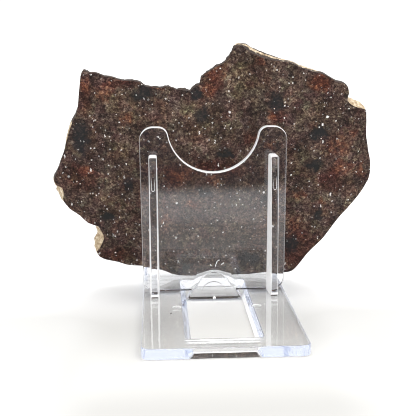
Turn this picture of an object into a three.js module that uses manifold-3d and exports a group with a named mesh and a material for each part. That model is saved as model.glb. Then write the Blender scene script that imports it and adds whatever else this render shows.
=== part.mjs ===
// A sawn slice of a chondrite meteorite leaning on a clear two-piece plastic display stand.
// Millimetres, +Z up. The stand's tail runs towards -Y, and the slice stands on the ledge at +Y.
// The origin is the centre of the part's footprint box, on the surface it stands on.
import * as THREE from 'three';
import { mergeVertices } from 'three/addons/utils/BufferGeometryUtils.js';
import Module from 'manifold-3d';

const wasm = await Module();
wasm.setup();

// Driving dimensions of the clear plastic stand
const standWidth = 44;
const plastic = 3; // thickness of the base and of the back plate
const tailLength = 50.5; // base on the tail side, from the back plate's tail-side face
const ledgeLength = 18.3; // base under the slice, from the back plate's other face to the lip
const lipThickness = 2;
const lipHeight = 2.2; // lip above the base's top
const baseCorner = 2.5; // corner radius of the base, seen from above
const backTop = 54.1; // height of the back plate's two lobes above the table
const seatGap = 0.15; // play between the base's top and what stands on it
const lipOuter = plastic + ledgeLength + lipThickness; // far edge of the base
const cornerSteps = 8; // facets in a quarter turn of a small corner

// Window through the base: wider above than below, as its two long walls slope
const windowTail = 43; // reach of the window from the back plate's tail-side face
const windowLedge = 13; // the same, on the ledge side
const windowUpperWidth = 20.6;
const windowLowerWidth = 17.5;
const windowCorner = 0.8;

// Back plate: a finger scallop in its top edge and two fins on its tail side
const scallopRadius = 14;
const lobeRadius = 4; // rounding of the lobes' outer corners
const scallopLipRadius = 3; // rounding where the scallop meets the top edge
const footRadius = 3.5; // rounding of the plate's lower corners
const plateFlare = 0.4; // how far each side of the plate leans out at the top
const finCentre = 18.2; // distance of each fin from the middle of the plate
const finTop = 45.8;
const finDepthBelow = 8.1; // how far a fin stands out at its bottom
const finDepthAbove = 6.7; // and at its top
const finRootBelow = 3.2; // thickness where it leaves the plate, at its bottom
const finRootAbove = 2.7;
const finEdgeBelow = 1.95; // thickness of its free edge, at its bottom
const finEdgeAbove = 2.35;
const finRoot = 0.5; // how far a fin's solid reaches into the plate
const plateSteps = 24; // facets in each curve of the plate's outline

// Lug: a bell-shaped thickening at the plate's foot that drops through the window
const lugHalfWidth = 8.4;
const lugTop = 9.4;
const lugBottom = 0.3;
const lugProudBelow = 1.3; // how far its front stands out from the plate at its bottom
const lugProudAbove = 0.4; // and at its top
const lugShoulderHalfWidth = 3.6;
const lugShoulderHeight = 7.3;

// Slice
const sliceThickness = 4;
const lean = THREE.MathUtils.degToRad(15); // lean of the slice towards the back plate
const clearance = 0.3; // play between the slice and the stand
const rimRows = 4; // rows of points across the slice's edge
const rimBulge = 0.25; // how far the edge swells between its two faces
const rimRoughness = 0.16; // random rise and fall of the edge

// Outline of the slice's face that leans on the plate, clockwise from the upper left corner.
// Each point is [across, up, flare]: flare is how far the opposite face reaches past this one there.
const brokenUpperLeft = [
  [-38.9, 69.3, -0.3], [-38.4, 70.1, -0.7], [-36.8, 69.7, -1.1], [-34.5, 69.3, -1.0],
  [-32.2, 68.4, -1.2], [-29.9, 68.0, -1.1], [-27.5, 67.1, -1.0], [-24.0, 67.0, -1.1],
  [-21.7, 66.4, -0.9], [-20.5, 65.3, -0.9], [-18.1, 65.0, -1.1], [-15.8, 64.7, -1.0],
  [-13.4, 65.0, -1.1], [-11.0, 64.2, -1.1], [-9.4, 64.1, -1.0], [-6.8, 63.5, -0.8],
];
const riseToPeak = [
  [-6.0, 64.6, -0.7], [-4.2, 65.7, -0.8], [-3.6, 67.8, -0.7], [-2.4, 69.0, -0.9],
  [-0.2, 70.4, -0.9], [0.9, 71.3, -0.8], [2.1, 71.7, -0.9], [3.5, 72.8, -0.9],
  [4.7, 74.5, -0.7], [6.0, 76.5, -0.5], [6.9, 77.3, -0.5], [8.3, 77.3, -0.1],
];
const crustedUpperRight = [
  [9.3, 76.5, 0.5], [11.0, 75.3, 0.7], [12.9, 74.4, 0.7], [16.3, 73.2, 0.5], [18.6, 72.8, 0.2],
  [22.1, 72.3, -0.3], [24.0, 71.6, -0.2], [26.4, 70.5, -0.3], [30.3, 69.3, -0.5],
];
const rightShoulder = [
  [33.3, 68.4, -0.5], [34.5, 67.8, -0.5], [37.1, 66.2, -0.4], [39.6, 65.4, -0.4],
  [40.4, 64.7, -0.3], [40.9, 63.9, -0.2], [41.2, 62.8, 0], [41.0, 61.2, 0.2],
];
const rightNotch = [
  [40.9, 60.3, 0.5], [42.0, 59.2, 0.9], [44.5, 57.9, 1.0], [45.5, 57.7, 0.8], [46.5, 57.4, 0],
];
const rightEdge = [
  [47.0, 56.3, 0], [47.3, 54.4, 0.2], [47.8, 48.5, 0.5], [48.7, 44.4, 0.3],
  [49.9, 39.8, 0], [50.1, 37.6, -0.2], [50.0, 34.8, -0.3], [49.0, 32.0, -0.2],
];
const lowerRight = [
  [47.6, 29.2, 0], [45.8, 26.4, 0.2], [43.8, 23.6, 0.4], [41.6, 20.7, 0.3], [39.7, 17.8, 0.1],
  [38.0, 14.9, 0], [36.0, 12.0, -0.1], [33.4, 9.1, 0], [31.1, 6.1, 0.2], [29.2, 3.1, 0.1],
  [27.2, 0.8, 0], [24.2, 0.1, -0.2],
];
const foot = [
  [18.2, 0.7, -0.3], [12.8, 0.2, -0.4], [8.5, 0.1, -0.4], [0.8, 0, -0.4], [-3.8, 0, -0.5],
  [-8.8, 0.1, -0.4], [-12.8, 0.8, -0.3], [-15.1, 2.0, -0.2], [-17.5, 2.8, -0.2],
  [-22.3, 3.7, -0.1], [-27.8, 4.4, 0], [-30.4, 5.4, 0.1], [-32.8, 6.0, 0.2], [-35.0, 6.7, 0.2],
  [-36.3, 7.6, 0.4],
];
const lowerLeftNotch = [
  [-37.1, 9.5, 1.0], [-35.6, 11.8, 2.4], [-34.7, 14.4, 2.3], [-35.3, 16.9, 2.1],
  [-36.2, 18.6, 1.9],
];
const lowerLeft = [
  [-39.3, 19.9, 1.1], [-42.2, 22.9, 0.6], [-45.0, 25.2, 0.4], [-46.0, 26.6, 0.6],
];
const leftChip = [
  [-46.8, 28.3, 1.4], [-46.5, 30.3, 2.7], [-46.9, 32.4, 2.6], [-48.7, 33.4, 1.0],
];
const leftEdge = [
  [-49.3, 35.0, 0], [-48.2, 37.7, -0.3], [-46.6, 41.7, -0.3], [-45.6, 44.3, -0.1],
  [-44.5, 48.3, 0.1], [-42.8, 53.4, -0.1], [-41.0, 57.2, -0.3], [-40.2, 61.0, -0.5],
  [-39.6, 66.0, -0.7],
];
const outline = [
  ...brokenUpperLeft, ...riseToPeak, ...crustedUpperRight, ...rightShoulder, ...rightNotch,
  ...rightEdge, ...lowerRight, ...foot, ...lowerLeftNotch, ...lowerLeft, ...leftChip, ...leftEdge,
];

function toSolid(geometry) {
  const bare = geometry.clone();
  bare.deleteAttribute('normal');
  bare.deleteAttribute('uv');
  const merged = mergeVertices(bare);
  return new wasm.Manifold(new wasm.Mesh({
    numProp: 3,
    vertProperties: new Float32Array(merged.attributes.position.array),
    triVerts: new Uint32Array(merged.index.array),
  }));
}

function toGeometry(solid) {
  const mesh = solid.getMesh();
  const geometry = new THREE.BufferGeometry();
  geometry.setAttribute('position', new THREE.BufferAttribute(mesh.vertProperties, 3));
  geometry.setIndex(new THREE.BufferAttribute(mesh.triVerts, 1));
  geometry.computeVertexNormals();
  return geometry;
}

function union(geometries) {
  const [first, ...rest] = geometries.map(toSolid);
  return toGeometry(rest.reduce((whole, next) => whole.add(next), first));
}

// A rectangle from (x0, y0) to (x1, y1) with one radius at every corner
function roundedRectangle(x0, y0, x1, y1, radius) {
  const shape = new THREE.Shape();
  shape.moveTo(x0 + radius, y0);
  shape.absarc(x1 - radius, y0 + radius, radius, -Math.PI / 2, 0, false);
  shape.absarc(x1 - radius, y1 - radius, radius, 0, Math.PI / 2, false);
  shape.absarc(x0 + radius, y1 - radius, radius, Math.PI / 2, Math.PI, false);
  shape.absarc(x0 + radius, y0 + radius, radius, Math.PI, 1.5 * Math.PI, false);
  return shape;
}

// A shape drawn as (across, along), raised between two heights
function raised(shape, bottom, top) {
  const layer = new THREE.ExtrudeGeometry(shape, {
    depth: top - bottom, bevelEnabled: false, curveSegments: cornerSteps,
  });
  layer.translate(0, 0, bottom);
  return layer;
}

function baseFootprint() {
  const half = standWidth / 2;
  return roundedRectangle(-half, -tailLength, half, lipOuter, baseCorner);
}

// What the window takes out of the base, reaching past it above and below
function baseWindow() {
  const half = windowLowerWidth / 2;
  const outline = roundedRectangle(-half, -windowTail, half, windowLedge, windowCorner);
  const opening = raised(outline, -plastic, 2 * plastic);
  const widening = (windowUpperWidth / windowLowerWidth - 1) / plastic;
  const corners = opening.attributes.position;
  for (let index = 0; index < corners.count; index += 1) {
    corners.setX(index, corners.getX(index) * (1 + widening * corners.getZ(index)));
  }
  return opening;
}

// Upturned lip along the ledge's far edge, its ends rounded with the base's corners
function lip() {
  const bottom = plastic / 2;
  const top = plastic + lipHeight;
  const bar = new THREE.BoxGeometry(standWidth, lipThickness, top - bottom);
  bar.translate(0, lipOuter - lipThickness / 2, (bottom + top) / 2);
  return toGeometry(toSolid(raised(baseFootprint(), bottom, top)).intersect(toSolid(bar)));
}

function standBase() {
  const plate = toSolid(raised(baseFootprint(), 0, plastic));
  return toGeometry(plate.subtract(toSolid(baseWindow())).add(toSolid(lip())));
}

// A shape drawn as (across, up), made into an upright slab between two places along Y
function uprightSlab(shape, tailSide, ledgeSide) {
  const slab = new THREE.ExtrudeGeometry(shape, {
    depth: ledgeSide - tailSide, bevelEnabled: false, curveSegments: plateSteps,
  });
  slab.rotateX(Math.PI / 2);
  slab.translate(0, ledgeSide, 0);
  return slab;
}

// The scallop is a half circle centred on the top edge, with a rounded lip on each side
function backPlateShape() {
  const half = standWidth / 2;
  const bottom = plastic + seatGap;
  const lobeCentre = half + plateFlare - lobeRadius;
  const lobeHeight = backTop - lobeRadius;
  const lipRise = backTop - scallopLipRadius;
  const lipReach = scallopRadius + scallopLipRadius;
  const lipCentre = Math.sqrt(lipReach ** 2 - scallopLipRadius ** 2);
  const lipTurn = Math.asin(scallopLipRadius / lipReach);
  const shape = new THREE.Shape();
  shape.moveTo(-half + footRadius, bottom);
  shape.absarc(half - footRadius, bottom + footRadius, footRadius, -Math.PI / 2, 0, false);
  shape.absarc(lobeCentre, lobeHeight, lobeRadius, 0, Math.PI / 2, false);
  shape.absarc(lipCentre, lipRise, scallopLipRadius, Math.PI / 2, Math.PI - lipTurn, false);
  shape.absarc(0, backTop, scallopRadius, -lipTurn, -Math.PI + lipTurn, true);
  shape.absarc(-lipCentre, lipRise, scallopLipRadius, lipTurn, Math.PI / 2, false);
  shape.absarc(-lobeCentre, lobeHeight, lobeRadius, Math.PI / 2, Math.PI, false);
  shape.absarc(-half + footRadius, bottom + footRadius, footRadius, Math.PI, 1.5 * Math.PI, false);
  return shape;
}

// Corners of a fin's outline at one height, in order from the free edge's left end
function finSection(centre, root, edge, depth, height) {
  return [
    [centre - edge / 2, -depth, height], [centre + edge / 2, -depth, height],
    [centre + root / 2, finRoot, height], [centre - root / 2, finRoot, height],
  ];
}

// A fin is thicker at the plate than at its free edge, and stands out less towards its top
function fin(centre) {
  return toGeometry(wasm.Manifold.hull([
    ...finSection(centre, finRootBelow, finEdgeBelow, finDepthBelow, plastic + seatGap),
    ...finSection(centre, finRootAbove, finEdgeAbove, finDepthAbove, finTop),
  ]));
}

// The curve over the top peaks halfway between the shoulders and its control point
function lugShape() {
  const control = 2 * lugTop - lugShoulderHeight;
  const shape = new THREE.Shape();
  shape.moveTo(-lugHalfWidth, lugBottom);
  shape.lineTo(lugHalfWidth, lugBottom);
  shape.lineTo(lugShoulderHalfWidth, lugShoulderHeight);
  shape.quadraticCurveTo(0, control, -lugShoulderHalfWidth, lugShoulderHeight);
  shape.closePath();
  return shape;
}

// The lug's front leans back towards its top
function lug() {
  const slab = uprightSlab(lugShape(), -lugProudBelow, plastic);
  const corners = slab.attributes.position;
  for (let index = 0; index < corners.count; index += 1) {
    if (corners.getY(index) < 0) {
      const part = (corners.getZ(index) - lugBottom) / (lugTop - lugBottom);
      corners.setY(index, -THREE.MathUtils.lerp(lugProudBelow, lugProudAbove, part));
    }
  }
  return slab;
}

function standBack() {
  return union([
    uprightSlab(backPlateShape(), 0, plastic),
    fin(-finCentre),
    fin(finCentre),
    lug(),
  ]);
}

// Repeatable pseudo-random number from -1 to 1
function scatter(point, row) {
  const wave = Math.sin(point * 12.9898 + row * 78.233) * 43758.5453;
  return 2 * (wave - Math.floor(wave)) - 1;
}

// Unit vector out of the outline at a point, square to the line between its two neighbours
function outwardAt(index) {
  const before = outline[(index + outline.length - 1) % outline.length];
  const after = outline[(index + 1) % outline.length];
  return new THREE.Vector2(before[1] - after[1], after[0] - before[0]).normalize();
}

// One row of the edge, from the leaning face (row 0) to the opposite face (the last row)
function rimRow(row) {
  const part = row / (rimRows - 1);
  const swell = rimBulge * Math.sin(Math.PI * part);
  return outline.map(([across, up, flare], index) => {
    const rough = row === 0 ? 0 : rimRoughness * scatter(index, row);
    const reach = flare * part + swell + rough;
    const outward = outwardAt(index);
    return new THREE.Vector2(across + outward.x * reach, up + outward.y * reach);
  });
}

// The slice stands upright here, its leaning face in the plane Y = 0
function slice() {
  const rows = Array.from({ length: rimRows }, (_, row) => rimRow(row));
  const count = outline.length;
  const positions = [];
  rows.forEach((points, row) => {
    const depth = sliceThickness * row / (rimRows - 1);
    points.forEach((point) => positions.push(point.x, depth, point.y));
  });
  const triangles = [];
  for (let row = 0; row < rimRows - 1; row += 1) {
    for (let index = 0; index < count; index += 1) {
      const next = (index + 1) % count;
      const near = row * count;
      const far = near + count;
      triangles.push(near + index, near + next, far + next);
      triangles.push(near + index, far + next, far + index);
    }
  }
  const lastRow = (rimRows - 1) * count;
  THREE.ShapeUtils.triangulateShape(rows[0], []).forEach(([a, b, c]) => {
    triangles.push(a, b, c);
  });
  THREE.ShapeUtils.triangulateShape(rows[rimRows - 1], []).forEach(([a, b, c]) => {
    triangles.push(lastRow + a, lastRow + c, lastRow + b);
  });
  const geometry = new THREE.BufferGeometry();
  geometry.setAttribute('position', new THREE.Float32BufferAttribute(positions, 3));
  geometry.setIndex(triangles);
  geometry.computeVertexNormals();
  return geometry;
}

const clearPlastic = new THREE.MeshStandardMaterial({
  color: 0xe9eef6, roughness: 0.05, metalness: 0, transparent: true, opacity: 0.3,
});
const stone = new THREE.MeshStandardMaterial({ color: 0x43332c, roughness: 0.5, metalness: 0.05 });

function named(name, geometry, material) {
  const mesh = new THREE.Mesh(geometry, material);
  mesh.name = name;
  return mesh;
}

// The slice's foot stands just above the base, and its face just clears the plate's top edge
const footHeight = plastic + clearance;
const footReach = plastic + clearance / Math.cos(lean) + (backTop - footHeight) * Math.tan(lean);
const sliceMesh = named('slice', slice(), stone);
sliceMesh.rotation.x = lean;
sliceMesh.position.set(0, footReach, footHeight);

const display = new THREE.Group();
display.add(
  sliceMesh,
  named('stand_base', standBase(), clearPlastic),
  named('stand_back', standBack(), clearPlastic),
);

// The origin goes to the middle of the footprint
const footprint = new THREE.Box3().setFromObject(display, true);
const middle = footprint.getCenter(new THREE.Vector3());
display.position.set(-middle.x, -middle.y, 0);

const part = new THREE.Group();
part.add(display);

export default part;
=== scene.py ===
# A sawn chondrite slice on its clear plastic stand: looks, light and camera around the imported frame.
# Metres, +Z up. The slice has axes of its own: x across, y through its thickness, z up its face.
import math
import bmesh
import bpy
from mathutils import Matrix, Vector, noise


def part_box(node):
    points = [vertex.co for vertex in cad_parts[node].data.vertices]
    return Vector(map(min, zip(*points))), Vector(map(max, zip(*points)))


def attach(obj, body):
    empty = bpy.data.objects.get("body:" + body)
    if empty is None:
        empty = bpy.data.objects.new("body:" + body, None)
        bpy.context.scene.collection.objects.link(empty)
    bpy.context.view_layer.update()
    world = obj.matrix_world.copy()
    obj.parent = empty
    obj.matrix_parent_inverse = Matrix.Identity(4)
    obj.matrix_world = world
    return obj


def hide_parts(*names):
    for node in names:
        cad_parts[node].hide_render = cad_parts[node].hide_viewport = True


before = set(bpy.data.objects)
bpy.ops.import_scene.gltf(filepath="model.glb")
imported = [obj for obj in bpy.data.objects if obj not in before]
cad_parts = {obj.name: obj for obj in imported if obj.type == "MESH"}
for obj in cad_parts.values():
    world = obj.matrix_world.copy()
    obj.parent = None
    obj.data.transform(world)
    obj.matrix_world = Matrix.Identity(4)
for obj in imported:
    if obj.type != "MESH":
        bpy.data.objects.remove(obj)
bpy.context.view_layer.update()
MM = 0.001

back_low, back_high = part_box("stand_back")
base_low, base_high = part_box("stand_base")

# Back plate: x across from its middle, y from its tail-side face towards the slice, z up, in millimetres
PLATE = 3
PLATE_MIDDLE = (back_low.x + back_high.x) / 2
PLATE_FACE = back_high.y - PLATE * MM
PLATE_FLARE = 0.4  # how far each side leans out at the top
PLATE_HALF = (back_high.x - back_low.x) / 2 / MM - PLATE_FLARE
PLATE_BOTTOM = 2.87
PLATE_TOP = back_high.z / MM
SCALLOP_RADIUS = 14
LIP_RADIUS = 3  # where the scallop meets the top edge
LOBE_RADIUS = 4  # outer corners at the top
FOOT_RADIUS = 3.5  # outer corners at the bottom
RIM_RADIUS = 0.3  # rounding between the plate's faces and its edges
FAR_RADIUS = 0.1  # and the same on the side towards the slice
SCUFFS = (  # small moulding flaws over the lug: across, up, lean in degrees and half length
    (0.9, 11.9, 20, 0.65), (1.5, 12.55, 75, 0.3), (0.55, 10.85, 5, 0.45), (-0.95, 11.0, -35, 0.35),
    (2.5, 11.3, 40, 0.35), (3.0, 11.6, -30, 0.25), (6.7, 9.75, 60, 0.25),
)
SCUFF_HALF = 0.13  # half their width
PLATE_CHAMFER = 0.35  # along its lower edge on the tail side
CURVE_STEPS = 24  # straight pieces in each arc of an outline
ROUND_STEPS = 5  # and in each rounded rim
PAST = 1  # how far the cutters reach past what they cut

# Fins on the tail side, and the shallow slot in the front of each
FIN_PLACES = (-18.45, 17.95)
FIN_DEPTHS = (8.1, 6.3)  # how far they stand out, at the bottom and at the top
FIN_BOTTOM = 2.9
FIN_TOP = 45.8
FIN_ROOTS = (3.2, 2.5)  # thickness where it leaves the plate, at the bottom and at the top
FIN_EDGES = (1.95, 2.35)  # and at its free edge
FIN_RADIUS = 0.28  # rounding of its free edge
FIN_TOP_RADIUS = 0.6  # at the two upper corners
FIN_CHAMFER = 0.7  # under its free end
TOE_PROUD, TOE_HEIGHT, TOE_WIDER = 0.1, 0.6, 0.05  # a white satin band across its foot, wider than the edge: a painted highlight along the foot
SLOT_BOTTOM, SLOT_TOP = 35.8, 40.0
SLOT_HALF = 0.38  # half its width
SLOT_DEEP = 0.3
SLOT_CHAMFER = 0.08

# Bell-shaped lug at the plate's foot
LUG_HALF = 8.6
LUG_TOP = 9.3
LUG_BOTTOM = 0.3
LUG_PROUD = 1.3  # how far its front stands out from the plate's face
LUG_TAPER = 0.3  # and the share of that at its top, as its front leans back
LUG_RADIUS = 0.35  # rounding round its front
LUG_CHAMFER = 0.5  # along its bottom edge
NUB_RADIUS, NUB_SUNK = 0.5, 0.1  # the gate mark at its bottom edge
SHOULDER_HALF, SHOULDER_HEIGHT = 3.7, 7.35
HILL_TOP = 12.2  # the soft slope round the lug starts from the plate's face here
HILL_HALF, HILL_HEIGHT = 6.0, 8.6  # and at these shoulders
HILL_PROUD = 0.25  # and stands out this far where it meets the bell
ARCH_HALF, ARCH_TOP, ARCH_DEEP = 3.9, 5.2, 0.8  # the hollow in its back
ARCH_FOOT = 0.6  # which starts this far above the lug's bottom

# Which faces of the back plate are white satin, which paints highlights along its edges, fin ends and
# flaws: where they lie, and the parts of their normals
FINS_FROM = LUG_HALF + 3  # the fins stand further from the middle than this
SCUFFS_WITHIN = 7.5  # and the flaws lie nearer to it than this
SCUFFS_ABOVE = LUG_TOP + 0.2  # and higher than this
SCUFF_FACING = 0.97  # the slope under the flaws faces the viewer more than this
FACE_FACING = 0.92  # and so do the plate's two faces and the fins' fronts
FLANK_FACING, FIN_TOP_FACING, FIN_FOOT_FACING = 0.5, 0.6, 0.9
RIM_FACING, SCALLOP_FACING, SIDE_FACING = 0.25, -0.2, 0.8

# Base: x across from its middle, y along from its middle, z up, in millimetres
BASE_MIDDLE = (base_low + base_high) / 2
BASE_HALF = (base_high.x - base_low.x) / 2 / MM
BASE_REACH = (base_high.y - base_low.y) / 2 / MM
BASE_CORNER = 2.5
BASE_TOP = 2.8
BASE_RIM = 0.25  # rounding of its upper edges
BASE_FOOT_RIM = 0.1  # and of its lower ones
LIP_TOP = base_high.z / MM
LIP_THICKNESS = 2
LIP_EMBEDDED = 1.5
WINDOW_NEAR, WINDOW_FAR = -29.4, 26.6
WINDOW_UPPER, WINDOW_LOWER = 10.3, 8.75  # half widths: its long walls slope
WINDOW_CORNER = 0.8
WINDOW_RIM = 0.3  # rounding of its upper and lower rims
BEADS = ((-31.0, -10.9, 9.8), (-32.7, -10.5, 9.3))  # raised lines by the window: along, left and right end
BEAD_RADIUS = 0.24
DIMPLES = ((-12, -2.3), (11.6, -2.4))  # round marks left by the mould's pins
DIMPLE_RADIUS, DIMPLE_DEEP = 1.35, 0.25
DIMPLE_RING = 0.2  # their walls are looked for this far outside them
SPECK = Vector((-13.85, -8.6, 2.8))  # a dark grain on the base
SPECK_RADIUS = 0.26
CLEAR, SATIN_HIGHLIGHT, GRIT = 0, 1, 2  # the order of the materials on a plastic piece; the white satin one is partly a matt finish, partly a painted highlight
SHARP_PLASTIC = math.radians(40)  # edges of its pieces are sharp where they turn more than this

# Slice
LEAN = math.radians(15)
THICKNESS = 4 * MM
CAD_ROWS = 4  # rings of points round the slice's edge in the frame
RING_START = Vector((47.8 * MM, 48.5 * MM))  # a lone point of the outline, where every ring starts
CORNER = math.radians(38)  # the outline turns sharply where it turns more than this at a point
POINT_SPACING = 0.42 * MM
FINE_ROWS = 10
SAWN_WAVE = 0.05 * MM  # roughness of the smooth stretches of the edge
BROKEN_WAVE = 0.22 * MM  # roughness of the broken upper left edge
WORN_WAVE = 0.06 * MM  # added where the crust is worn
GRAIN_LENGTH = 1.5 * MM  # size of the bumps on the edge
EDGE_SWELL = 0.6  # how much rougher the edge is half-way through than at the faces
SHARP_STONE = math.radians(50)  # edges are sharp where they turn more than this
CRUST = 1  # the edge's place in the slice's materials, after the sawn face's

# Camera and floor
CAMERA_PLACE = Vector((-17.415, -243.403, 80.655)) * MM
CAMERA_TURN = 0.0594  # radians to the right of +Y
CAMERA_DIP = 0.1974  # radians below the horizon
CAMERA_ROLL = -0.0044
LENS = 74.04  # in millimetres, as is the sensor's width
SENSOR = 36
DARK_ALONG = (-640 * MM, -560 * MM), (-205 * MM, -160 * MM)  # a dark patch on the floor, below the camera
DARK_ACROSS = (-120 * MM, -80 * MM), (150 * MM, 190 * MM)  # rises in the first span, falls in the second
FLOOR_COLOUR = (0.52, 0.515, 0.498, 1)  # in front of the stand, kept darker than behind and beside it as a painted shade of the slice
FLOOR_PAINTED_LIGHT_COLOUR = (0.82, 0.82, 0.815, 1)  # behind it: painted light that lifts the slice's shadow round its foot
PAINTED_LIGHT_BEHIND = (-13 * MM, 25 * MM)  # the painted light rises between these, along Y
PAINTED_LIGHT_BESIDE = (25 * MM, 40 * MM)  # and a little between these, to either side of this middle, so the strip in front keeps its painted shade
FLOOR_MIDDLE = -5 * MM
PAINTED_LIGHT_SHARE = 0.25  # how much is a little
FLOOR_NEAR_COLOUR = (0.86, 0.85, 0.85, 1)  # towards the viewer, at the picture's lower edge and below
FLOOR_NEAR_FROM = (-112 * MM, -88 * MM)  # it gives way to the colour in front of the stand here
FLOOR_PAINTED_GLOW = 1.2  # painted light: the table is painted brighter round the base's tail, standing in for light the base gathers there
PAINTED_GLOW_FROM, PAINTED_GLOW_FULL = (-68 * MM, -48 * MM), (-44 * MM, -14 * MM)  # it rises, then falls, along Y
PAINTED_GLOW_REACH = (31 * MM, 42 * MM)  # and falls to either side
WINDOW_PAINTED_GLOW = 0.6  # the share of it that shows in the window
WINDOW_PAINTED_GLOW_FROM, WINDOW_PAINTED_GLOW_FULL = (-33 * MM, -28 * MM), (-14 * MM, 5 * MM)
WINDOW_PAINTED_GLOW_REACH = (9 * MM, 12 * MM)
FLOOR_DROP = 0.2 * MM  # air between the base and the floor
FLOOR_REACH = 40.0
FLOOR_ROUGHNESS = 0.6

# The room: white, dark below the horizon on the camera's side, with a soft light and a dim patch.
# Each cone is the cosines of the angles from its direction where the change starts and ends.
ROOM_LIGHT, ROOM_DARK = 1.1, 0.02
ROOM_EDGE = (-0.03, 0.0)
LAMP_DIRECTION = Vector((0.25, -0.2, 1.0))
LAMP_CONE, LAMP_LIGHT = (0.7, 0.9), 2.2
DIM_DIRECTION = Vector((0.09, -0.92, 0.38))  # above and behind the camera
DIM_CONE, DIM_SHARE = (0.95, 0.98), 0.05


# ---------------------------------------------------------------- helpers

def srgb(red, green, blue):
    """Linear colour of an sRGB colour given from 0 to 255."""
    def linear(value):
        part = value / 255
        return part / 12.92 if part <= 0.04045 else ((part + 0.055) / 1.055) ** 2.4
    return (linear(red), linear(green), linear(blue), 1.0)


def add_object(name, data):
    made = bpy.data.objects.new(name, data)
    bpy.context.scene.collection.objects.link(made)
    return made


def smooth_step(low, high, value):
    """0 up to the low value, 1 from the high one, and smoothly from one to the other between them."""
    part = min(max((value - low) / (high - low), 0), 1)
    return part * part * (3 - 2 * part)


class Shader:
    """The nodes of a material or of the world, written as nested calls that hand back sockets."""

    def __init__(self, owner, output="OutputMaterial"):
        owner.use_nodes = True
        self.owner = owner
        self.tree = owner.node_tree
        self.tree.nodes.clear()
        self.output = self.node(output)

    def node(self, kind, inputs=None, **settings):
        made = self.tree.nodes.new("ShaderNode" + kind)
        for key, value in settings.items():
            setattr(made, key, value)
        for key, value in (inputs or {}).items():
            self.feed(made.inputs[key], value)
        return made

    def feed(self, socket, value):
        if isinstance(value, bpy.types.NodeSocket):
            self.tree.links.new(value, socket)
        else:
            socket.default_value = value

    def math(self, operation, *values):
        return self.node("Math", dict(enumerate(values)), operation=operation).outputs[0]

    def plus(self, value, other, gain):
        """The value with so much of the other one added."""
        return self.math("ADD", value, self.math("MULTIPLY", other, gain))

    def vector(self, operation, *values):
        made = self.node("VectorMath", dict(enumerate(values)), operation=operation)
        return made.outputs["Value" if operation in ("LENGTH", "DOT_PRODUCT") else "Vector"]

    def scaled(self, vector, factor):
        return self.node("VectorMath", {0: vector, "Scale": factor}, operation="SCALE").outputs[0]

    def mix(self, factor, first, second, blend="MIX"):
        made = self.node("Mix", data_type="RGBA", blend_type=blend)
        for socket, value in ((made.inputs[0], factor), (made.inputs[6], first), (made.inputs[7], second)):
            self.feed(socket, value)
        return made.outputs[2]

    def span(self, value, low, high, start=0.0, end=1.0):
        """The value carried smoothly from low..high to start..end, and held at both ends."""
        made = self.node("MapRange", interpolation_type="SMOOTHSTEP")
        for index, given in enumerate((value, low, high, start, end)):
            self.feed(made.inputs[index], given)
        return made.outputs[0]

    def ramp(self, value, *stops):
        made = self.node("ValToRGB", {0: value})
        while len(made.color_ramp.elements) < len(stops):
            made.color_ramp.elements.new(0.5)
        for element, (place, colour) in zip(made.color_ramp.elements, stops):
            element.position = place
            element.color = colour
        return made.outputs[0]

    def noise(self, vector, scale, detail, roughness):
        return self.node("TexNoise", {
            "Vector": vector, "Scale": scale, "Detail": detail, "Roughness": roughness,
        })

    def cells(self, vector, scale):
        return self.node("TexVoronoi", {"Vector": vector, "Scale": scale})

    def surface(self, inputs, kind="BsdfPrincipled"):
        self.feed(self.output.inputs["Surface"], self.node(kind, inputs).outputs[0])


# ---------------------------------------------------------------- materials

# Places on the slice's face: across, up, half width and half height, in millimetres
DARK_PATCHES = (
    (-21, 63, 3.2, 2.6), (-40, 49, 2.6, 5.6), (-3, 56, 2.4, 2.6), (19.2, 60, 2.3, 3.4),
    (33, 49.5, 3.0, 2.5), (32, 39, 2.6, 1.9), (34.5, 21, 2.2, 1.9), (26, 11, 3.0, 3.4),
    (-33, 22, 2.6, 1.6), (-26, 33, 1.6, 1.9), (-5, 63, 1.9, 1.6), (4, 43, 2.9, 1.3),
    (13, 6, 3.8, 2.6), (-8, 3, 1.4, 2.0), (17, 28, 1.2, 1.2), (-2, 30, 2.2, 1.3),
)
RUST_PATCHES = (
    (-38, 66, 2.0, 3.2), (-33, 63, 2.6, 3.0), (-26, 55, 2.0, 1.7), (0, 70, 4.1, 3.3), (-2, 64, 2.6, 2.6),
    (14, 73, 2.0, 2.0), (32, 66, 3.8, 3.0), (18, 55.4, 1.7, 1.2), (39, 45, 4.4, 3.9), (41, 38, 3.5, 2.4),
    (44, 50, 1.7, 1.1), (-10, 36, 3.5, 3.0), (-39, 38, 2.6, 1.7), (-18, 65, 1.2, 1.1), (0, 34, 2.6, 1.7),
    (28, 29, 2.3, 1.7), (27, 18, 2.6, 3.0), (35, 26, 1.4, 1.0), (18, 46, 1.7, 1.7), (47, 37, 1.4, 2.7),
    (-6, 26, 2.0, 2.0), (-15, 21, 1.7, 2.7),
)
PALE_PATCHES = (
    (-28, 60, 5.0, 4.0), (7, 69, 4.4, 5.2), (7, 61, 4.4, 4.0), (24, 62, 3.2, 3.3), (30, 57, 2.6, 3.3),
    (26, 51, 3.0, 3.3), (-4, 48, 5.0, 4.6), (-26, 46, 3.9, 3.3), (-33, 28, 4.4, 3.3), (39, 26, 3.9, 3.0),
    (27, 41, 2.7, 2.7), (33, 34, 2.6, 2.0), (-14, 58, 5.0, 4.4), (-5, 57, 4.4, 4.0), (6, 54, 4.0, 3.6),
)
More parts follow.
